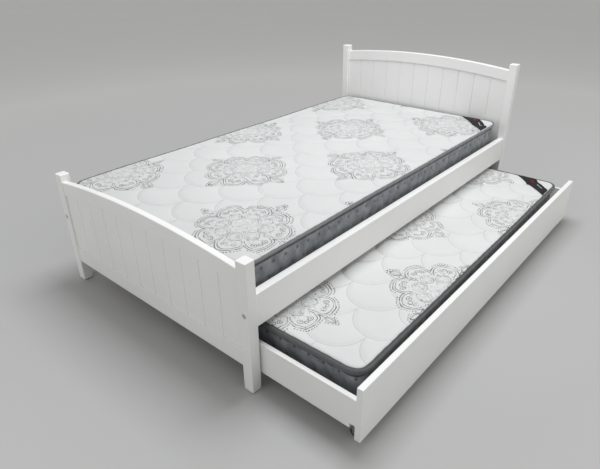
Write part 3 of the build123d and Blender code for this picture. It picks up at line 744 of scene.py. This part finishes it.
def plated_steel():
    """Zinc plate gone a little dull, with fine brushing."""
    made, tree, shader = node_material("zinc_steel", 0.38)
    place = object_place(tree)
    brushed = noise(tree, stretched(tree, place, (1.0, 0.08, 1.0)), 1200, 2)
    patches = noise(tree, place, 60, 3)
    tint = colours(tree, patches, [(0.3, (0.30, 0.31, 0.32)), (0.7, (0.44, 0.45, 0.46))])
    tree.links.new(tint, shader.inputs["Base Color"])
    shader.inputs["Metallic"].default_value = 1.0
    tree.links.new((brushed * 0.18 + patches * 0.15 + 0.22).value, shader.inputs["Roughness"])
    bumped(tree, shader, [(brushed, 0.15, 0.0001)])
    return made


def moulded(name, colour, roughness, grain):
    """Moulded plastic or rubber with a fine surface grain and a few scuffs."""
    made, tree, shader = node_material(name, roughness)
    place = object_place(tree)
    fine = noise(tree, place, grain, 2)
    scuffs = noise(tree, place, 70, 4, 0.7)
    lighter = tuple(min(1.0, c * 1.9 + 0.01) for c in colour)
    tint = colours(tree, scuffs, [(0.45, colour), (0.8, lighter)])
    tree.links.new(tint, shader.inputs["Base Color"])
    tree.links.new((scuffs * 0.25 + roughness - 0.12).value, shader.inputs["Roughness"])
    bumped(tree, shader, [(fine, 0.2, 0.0002)])
    return made


def dot(distance, radius):
    """1 inside a small round dot, from the distance to its middle."""
    return ((radius - distance) / 0.0008 + 0.5).between()


def medallion_lobes(along, across):
    """Eight double scalloped lobes, each with a row of beads outside it and two curls inside."""
    lobe = (along - 0.117).hypot(across)
    outer_half = along.above(0.095, 0.004)
    ink = (lobe - 0.050).line(0.0019) * outer_half
    ink = ink.most((lobe - 0.0405).line(0.0015) * outer_half)
    turn = across.math("ARCTAN2", along - 0.117)
    bead = (turn.wrap(-0.08, 0.08) * 0.060).hypot(lobe - 0.060)
    ink = ink.most(dot(bead, 0.0027) * turn.size().math("LESS_THAN", 1.05))
    curl = (along - 0.128).hypot(across.size() - 0.017)
    ink = ink.most((curl - 0.0085).line(0.0013)).most(dot(curl, 0.0028))
    return ink.most(((along - 0.137).hypot(across) - 0.006).line(0.0013))


def medallion_leaves(radius, angle):
    """A leaf bud on each axis, with a stem, a vein and dots round its tip."""
    quarter = angle.wrap(-math.pi / 4, math.pi / 4)
    u = radius * quarter.cosine()
    v = (radius * quarter.sine()).size()
    share = ((u - 0.155) / 0.050).between()
    belly = (share * math.pi).sine()
    on_leaf = (u - 0.180).size().math("LESS_THAN", 0.027)
    ink = (v - belly * 0.0135).line(0.0015) * on_leaf
    ink = ink.most((v - belly * 0.0055).line(0.0013) * on_leaf)
    dots = (u.wrap(-0.0050, 0.0050)).hypot(v - belly * 0.0135 - 0.0080)
    ink = ink.most(dot(dots, 0.0028) * (u - 0.196).size().math("LESS_THAN", 0.022))
    ink = ink.most(dot((u - 0.2150).hypot(v), 0.0032))
    return ink.most(v.line(0.0015) * (u - 0.148).size().math("LESS_THAN", 0.012))


def medallion_middle(tree, x, y, radius, angle, along, across):
    """Two rings of petals, a wavy ring, a small rose and loose curly lace that fills the rest."""
    petal = (along - 0.076).hypot(across)
    ink = (petal - 0.0255).line(0.0012) * 0.75
    ink = ink.most((petal - 0.017).line(0.0010) * 0.5)
    ink = ink.most((radius - 0.062 - (angle * 16).sine() * 0.0035).line(0.0010) * 0.55)
    rose = radius - ((angle * 4).cosine().size() * 0.022 + 0.018)
    ink = ink.most(rose.line(0.0011) * 0.55)
    ink = ink.most((radius - 0.0125).line(0.0010) * 0.55)
    seeds = (angle.wrap(-math.pi / 20, math.pi / 20) * 0.096).hypot(radius - 0.096)
    ink = ink.most(dot(seeds, 0.0030) * 0.9)
    here = tree.nodes.new("ShaderNodeCombineXYZ")
    tree.links.new(x.value, here.inputs[0])
    tree.links.new(y.value, here.inputs[1])
    curls = noise(tree, here.outputs[0], 52, 1.5, 0.5, 0.6) - 0.5
    inside = 1.0 - radius.above(0.135, 0.03)
    return ink.most(curls.line(0.020, 0.03) * inside * 0.50)


def medallion_ink(tree, x, y):
    """How much ink a printed medallion lays down, x and y from its middle in metres."""
    x = x / MEDALLION_SCALE
    y = y / MEDALLION_SCALE
    radius = x.hypot(y)
    angle = y.math("ARCTAN2", x)
    eighth = angle.wrap(0.0, math.pi / 4) - math.pi / 8
    along = radius * eighth.cosine()
    across = radius * eighth.sine()
    ink = medallion_lobes(along, across)
    ink = ink.most(medallion_leaves(radius, angle))
    return ink.most(medallion_middle(tree, x, y, radius, angle, along, across))


def drawn_by_hand(tree, x, y):
    """Shifts the coordinates of a drawing a little, by amounts that wander, so that it isn't exact."""
    here = tree.nodes.new("ShaderNodeCombineXYZ")
    tree.links.new(x.value, here.inputs[0])
    tree.links.new(y.value, here.inputs[1])
    aside = stretched(tree, here.outputs[0], (1.0, 1.0, 1.0), (0.7, 0.3, 0.0))
    shift_x = (noise(tree, here.outputs[0], 15, 2) - 0.5) * MEDALLION_WANDER
    shift_y = (noise(tree, aside, 15, 2) - 0.5) * MEDALLION_WANDER
    return x + shift_x, y + shift_y


def nearest_repeat(x, y, plan):
    """x and y from the middle of the nearest medallion, for a field of staggered medallions."""
    (x0, y0), (across, along) = plan["motif"], plan["motif_pitch"]
    x1 = (x - x0).wrap(-across / 2, across / 2)
    y1 = (y - y0).wrap(-along / 2, along / 2)
    x2 = (x - x0 - across / 2).wrap(-across / 2, across / 2)
    y2 = (y - y0 - along / 2).wrap(-along / 2, along / 2)
    first = (x1.hypot(y1)).math("LESS_THAN", x2.hypot(y2))
    second = 1.0 - first
    return x1 * first + x2 * second, y1 * first + y2 * second


def quilt_stitches(x, y, plan):
    """Distance to the nearest quilted arc, as stitch_distance works it out for the mesh."""
    (x0, y0), (half, height) = plan["scallop"], plan["scallop_half"]
    nearest = None
    for shift in (0, 1):
        across = (x - x0 - shift * half).wrap(-half, half) / half
        up = (y0 + (1 + shift) * height - y).wrap(0.0, 2 * height) / height
        away = (across.hypot(up) - 1.0).size() * ((half + height) / 2)
        nearest = away if nearest is None else nearest.least(away)
    return nearest


def knit(x, y, pitch):
    """A fine knitted surface: small staggered cells."""
    across = (x * (2 * math.pi / pitch)).sine()
    along = (y * (2 * math.pi / pitch)).sine()
    return (across * along) * 0.5 + 0.5


def quilted_knit(name, plan):
    """White knit with printed medallions, grey thread along the sewn arcs darkened further as painted shade
    of their channels, and a fine stipple.
    """
    made, tree, shader = node_material(f"{name}_top", 0.85)
    place = object_place(tree)
    x, y, _ = xyz(tree, place)
    motif_x, motif_y = nearest_repeat(x, y, plan)
    ink = medallion_ink(tree, *drawn_by_hand(tree, motif_x, motif_y))
    cells = knit(x, y, 0.0052)
    fuzz = noise(tree, place, 700, 3, 0.6)
    cloud = noise(tree, place, 5.0, 3)
    weight = noise(tree, place, 34, 2)
    ink = ink * (fuzz * 0.5 + 0.62).between() * (weight * 3.2 - 0.70).between()
    stitched = quilt_stitches(x, y, plan)
    near_motif = motif_x.hypot(motif_y).above(0.165, 0.05)
    # grey thread along each sewn arc, darkened further as painted shade of its channel
    thread_and_channel_shade = stitched.line(0.0016, 0.0016) * near_motif
    white = plan["white"]
    lighter = (white, white * 1.004, white * 1.006)
    darker = tuple(0.92 * c for c in lighter)
    tint = colours(tree, cloud * 0.6 + fuzz * 0.4, [(0.3, darker), (0.7, lighter)])
    tint = mixed(tree, cells * 0.05, tint, (0.46, 0.47, 0.48))
    tint = mixed(tree, thread_and_channel_shade * 0.42, tint, (0.34, 0.35, 0.36))
    tint = mixed(tree, ink, tint, (0.042, 0.044, 0.048))
    tree.links.new(tint, shader.inputs["Base Color"])
    shader.inputs["Sheen Weight"].default_value = 0.15
    shader.inputs["Sheen Roughness"].default_value = 0.5
    shader.inputs["Specular IOR Level"].default_value = 0.25
    tree.links.new((fuzz * 0.2 + 0.72).value, shader.inputs["Roughness"])
    bumped(tree, shader, [(cells, 0.25, 0.0006), (fuzz, 0.25, 0.0005)])
    return made


def height_before_settling(x, y, z, plan, thickness):
    """How high a point of the border was before settle() moved it, from where it is now."""
    (width, length) = plan["size"]
    u = x / width + 0.5
    v = y / length + 0.5
    foot_left, foot_right, head_left, head_right = plan["lift"]
    foot = u * (foot_right - foot_left) + foot_left
    head = u * (head_right - head_left) + head_left
    lift = foot + v * (head - foot)
    return z - lift * (z / thickness)


def border_cloth(name, plan, thickness):
    """Slate grey border cloth: a close twill, cloudy tone, a dark thread spot in each tuft with painted
    shade of its dimple, and a band of painted shade under the top tape.
    """
    made, tree, shader = node_material(f"{name}_border", 0.8)
    place = object_place(tree)
    x, y, z = xyz(tree, place)
    z = height_before_settling(x, y, z, plan, thickness)
    (width, length) = plan["size"]
    on_long = (x.size() - width / 2).size().math("LESS_THAN", (y.size() - length / 2).size())
    along = y * on_long + x * (1.0 - on_long)
    twill = ((along + z) * (2 * math.pi / 0.0028)).sine() * 0.5 + 0.5
    fuzz = noise(tree, place, 900, 3, 0.6)
    cloud = noise(tree, place, 24, 4, 0.6)
    tint = colours(tree, cloud, [(0.34, (0.150, 0.162, 0.178)), (0.66, (0.345, 0.366, 0.392))])
    tint = mixed(tree, twill * 0.25, tint, (0.115, 0.124, 0.137))
    tint = mixed(tree, fuzz * 0.18, tint, (0.26, 0.28, 0.29))
    # a dark thread spot at each tuft, with painted shade of its dimple: the upper row, whose dimples are
    # deeper, is painted darker
    for row, down in enumerate(TUFT_ROWS):
        beside = (along - row * TUFT_PITCH / 2).wrap(-TUFT_PITCH / 2, TUFT_PITCH / 2)
        away = beside.hypot(z - (thickness - down))
        dark = ((0.0085 - away) / 0.007).between() * (0.85 - 0.35 * row)
        tint = mixed(tree, dark, tint, (0.022, 0.025, 0.029))
    half_height, half_depth = plan["tape"]
    # painted shade: a dark band on the border just under the top tape, where the tape's shadow falls
    painted_shade_edge = thickness - plan["tape_drop"] - half_height - (half_depth + plan["recess"]) / 2 - 0.006
    tint = mixed(tree, z.above(painted_shade_edge, 0.005) * 0.9, tint, (0.016, 0.017, 0.019))
    tree.links.new(tint, shader.inputs["Base Color"])
    shader.inputs["Sheen Weight"].default_value = 0.25
    shader.inputs["Sheen Roughness"].default_value = 0.5
    tree.links.new((fuzz * 0.2 + 0.68).value, shader.inputs["Roughness"])
    bumped(tree, shader, [(twill, 0.3, 0.0004), (cloud, 0.35, 0.0025)])
    return made


def tape_cloth(name, light, dark):
    """Ribbed binding tape, painted dark along its upper crest for its stitched and shaded seam with the
    top, and on its downward faces as painted shade over the border.
    """
    made, tree, shader = node_material(name, 0.6)
    place = object_place(tree)
    x, y, _ = xyz(tree, place)
    rib = ((x + y) * (2 * math.pi / 0.0035)).sine() * 0.5 + 0.5
    fuzz = noise(tree, place, 800, 3, 0.6)
    tint = colours(tree, fuzz * 0.5 + rib * 0.5, [(0.25, dark), (0.75, light)])
    _, _, facing_up = xyz(tree, tree.nodes.new("ShaderNodeNewGeometry").outputs["Normal"])
    # painted shade: darker on faces turned down, and a dark line along the crest for the stitched, shaded
    # seam with the top
    seam_line_and_painted_shade = facing_up.above(0.92, 0.10).most((facing_up * -1.0).above(0.35, 0.30))
    tint = mixed(tree, seam_line_and_painted_shade * 0.85, tint, (0.020, 0.021, 0.023))
    tree.links.new(tint, shader.inputs["Base Color"])
    shader.inputs["Sheen Weight"].default_value = 0.3
    shader.inputs["Sheen Roughness"].default_value = 0.4
    tree.links.new((fuzz * 0.2 + 0.45).value, shader.inputs["Roughness"])
    bumped(tree, shader, [(rib, 0.3, 0.0004), (fuzz, 0.2, 0.0003)])
    return made


def woven_band(name, colour):
    """A satin ribbon with a fine cross weave."""
    made, tree, shader = node_material(name, 0.5)
    place = object_place(tree)
    x, y, _ = xyz(tree, place)
    weave = ((x - y) * (2 * math.pi / 0.0018)).sine() * ((x + y) * (2 * math.pi / 0.0018)).sine()
    weave = weave * 0.5 + 0.5
    lighter = tuple(min(1.0, c * 1.6 + 0.008) for c in colour)
    tint = colours(tree, weave, [(0.2, colour), (0.9, lighter)])
    tree.links.new(tint, shader.inputs["Base Color"])
    shader.inputs["Specular IOR Level"].default_value = 0.15
    tree.links.new((weave * 0.15 + 0.60).value, shader.inputs["Roughness"])
    bumped(tree, shader, [(weave, 0.25, 0.0003)])
    return made


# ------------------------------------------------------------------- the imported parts
def longest_axis(node):
    low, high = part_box(node)
    size = high - low
    return max(range(3), key=lambda axis: size[axis])


def dress_packed_parts():
    """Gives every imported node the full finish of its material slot."""
    made = {}

    def finish_for(node):
        axis = longest_axis(node)
        if node.startswith(("bed_slat", "trundle_slat", "slat_ledger", "trundle_ledger", "castor_blocks")):
            return ("pine", axis), lambda: bare_wood("pine", axis, PINE_LIGHT, PINE_DARK, 420)
        if node.endswith("dowels"):
            return ("beech", axis), lambda: bare_wood("beech", axis, BEECH_LIGHT, BEECH_DARK, 900)
        if node.startswith("wheel"):
            return ("wheel", 0), lambda: moulded("wheel_rubber", (0.018, 0.018, 0.019), 0.55, 900)
        if node == "post_glides":
            return ("glide", 0), lambda: moulded("glide_plastic", (0.05, 0.05, 0.05), 0.5, 600)
        if node == "bed_bolts":
            return ("bolt", 0), lambda: moulded("bolt_enamel", (0.36, 0.36, 0.36), 0.45, 500)
        if node.startswith("castor") or "nuts" in node or "screws" in node:
            return ("steel", 0), plated_steel
        return ("paint", axis), lambda: white_paint(axis)

    for node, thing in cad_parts.items():
        key, make = finish_for(node)
        if key not in made:
            made[key] = make()
        for slot in thing.material_slots:
            slot.material = made[key]
        if not thing.material_slots:
            thing.data.materials.append(made[key])


# ------------------------------------------------------------------------ the scene
def build_mattress(node, plan):
    """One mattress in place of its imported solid: quilt, border, two tapes and a corner ribbon."""
    low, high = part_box(node)
    thickness = high.z - low.z
    middle = Vector(((low.x + high.x) / 2, (low.y + high.y) / 2, low.z))
    cover = cover_cage(f"{node}_cover", plan, thickness)
    held, top = quilted_start(cover, plan, thickness)
    blown_up(cover, held, np.where(top, TOP_CAP, BORDER_CAP))
    subdivided(cover)
    quilt = part_of(f"{node}_quilt", cover, 0)
    border = part_of(f"{node}_border", cover, 1)
    bpy.data.objects.remove(cover)
    carve_channels(quilt, plan, thickness)
    seam_path = [tuple(p) for p in points_of(border)[rims_of(border)[-1]]]
    foot_path = [(x, y, plan["tape_drop"]) for x, y, _ in seam_path]
    pieces = {
        "quilt": closed(quilt, (QUILT_CLOSING,)),
        "border": closed(border, (0.0, BORDER_CLOSING)),
        "tape_top": sewn_tape(f"{node}_tape_top", seam_path, *plan["tape"]),
        "tape_bottom": sewn_tape(f"{node}_tape_bottom", foot_path, *plan["tape"]),
    }
    for piece in pieces.values():
        settle(piece, plan, thickness)
    top_piece = pieces["quilt"]
    for kind, lengthwise, across, lift in RIBBON_PIECES:
        pieces[kind] = corner_ribbon(f"{node}_{kind}", top_piece, plan, lengthwise, across, lift)
    place = Matrix.Translation(middle) @ Matrix.Rotation(math.radians(plan["turn"]), 4, "Z")
    tape = tape_cloth(f"{node}_tape", *plan["tape_shades"])
    finishes = {
        "quilt": quilted_knit(node, plan),
        "border": border_cloth(node, plan, thickness),
        "tape_top": tape,
        "tape_bottom": tape,
        "ribbon": woven_band(f"{node}_ribbon", (0.012, 0.012, 0.014)),
        "ribbon_patch": woven_band(f"{node}_patch", (0.11, 0.010, 0.010)),
        "ribbon_stripe": woven_band(f"{node}_stripe", (0.34, 0.35, 0.37)),
    }
    for kind, piece in pieces.items():
        piece.matrix_world = place
        piece.data.materials.append(finishes[kind])
        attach(piece, plan["body"])
    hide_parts(node)
    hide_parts(node)
    flat, area = ribbon_cut(plan)


CAMERA_PLACE = (1.3706, -1.9546, 1.3519)
CAMERA_HEADING = 40.76          # degrees to the left of +Y
CAMERA_DOWN = 28.46             # degrees below the horizon
CAMERA_ROLL = -0.565
CAMERA_LENS = 31.11             # millimetres, on a sensor 36 mm wide


def camera():
    """The camera at the photograph's viewing angle: it looks down past the foot end, with a slight roll."""
    data = bpy.data.cameras.new("camera")
    data.sensor_width = 36.0
    data.lens = CAMERA_LENS
    thing = bpy.data.objects.new("camera", data)
    thing.matrix_world = (Matrix.Translation(CAMERA_PLACE)
                          @ Matrix.Rotation(math.radians(CAMERA_HEADING), 4, "Z")
                          @ Matrix.Rotation(math.radians(90 - CAMERA_DOWN), 4, "X")
                          @ Matrix.Rotation(math.radians(CAMERA_ROLL), 4, "Z"))
    bpy.context.scene.collection.objects.link(thing)
    bpy.context.scene.camera = thing


def soft_light(name, place, target, size, power, tint=(1, 1, 1)):
    """A large square studio light that points at a target."""
    data = bpy.data.lights.new(name, "AREA")
    data.shape = "SQUARE"
    data.size = size
    data.energy = power
    data.color = tint
    thing = bpy.data.objects.new(name, data)
    thing.location = place
    thing.rotation_euler = (Vector(target) - Vector(place)).to_track_quat("-Z", "Y").to_euler()
    bpy.context.scene.collection.objects.link(thing)


def studio():
    """A pale floor painted lighter away from the bed as painted light, a soft light overhead, weaker ones
    from the right and the front, an even surround.
    """
    scene = bpy.context.scene
    scene.view_settings.view_transform = "Standard"
    scene.view_settings.look = "None"
    world = bpy.data.worlds.new("surround")
    world.use_nodes = True
    world.node_tree.nodes["Background"].inputs["Color"].default_value = (0.99, 0.99, 0.98, 1)
    world.node_tree.nodes["Background"].inputs["Strength"].default_value = 0.50
    scene.world = world
    cool = (0.965, 0.985, 1.0)
    warm = (1.0, 0.985, 0.96)
    soft_light("overhead", (0.0, 0.2, 3.4), (0.0, 0.0, 0.0), 1.6, 81, cool)
    soft_light("right_fill", (3.6, 0.6, 1.8), (0.2, 0.0, 0.3), 2.2, 25, warm)
    soft_light("front_fill", (-0.4, -3.6, 1.2), (0.0, -0.8, 0.4), 2.0, 11.5)
    reach = 60.0
    corners = [(-reach, -reach, 0), (reach, -reach, 0), (reach, reach, 0), (-reach, reach, 0)]
    floor = mesh_object("floor", corners, [(0, 1, 2, 3)], smooth=False)
    made, tree, shader = node_material("floor", 0.75)
    place = object_place(tree)
    x, y, _ = xyz(tree, place)
    # painted light: the floor is painted darker near the bed and lighter away from it, for the light that
    # falls off near the bed
    painted_light_far = ((x.hypot(y) - 1.3) / 3.0).between()
    cloud = noise(tree, place, 0.8, 3)
    tint = mixed(tree, painted_light_far, (0.428, 0.428, 0.426), (0.760, 0.760, 0.755))
    tint = mixed(tree, cloud * 0.06, tint, (0.30, 0.30, 0.30))
    tree.links.new(tint, shader.inputs["Base Color"])
    floor.data.materials.append(made)


dress_packed_parts()
for mattress_node, mattress_plan in MATTRESSES.items():
    build_mattress(mattress_node, mattress_plan)
camera()
studio()
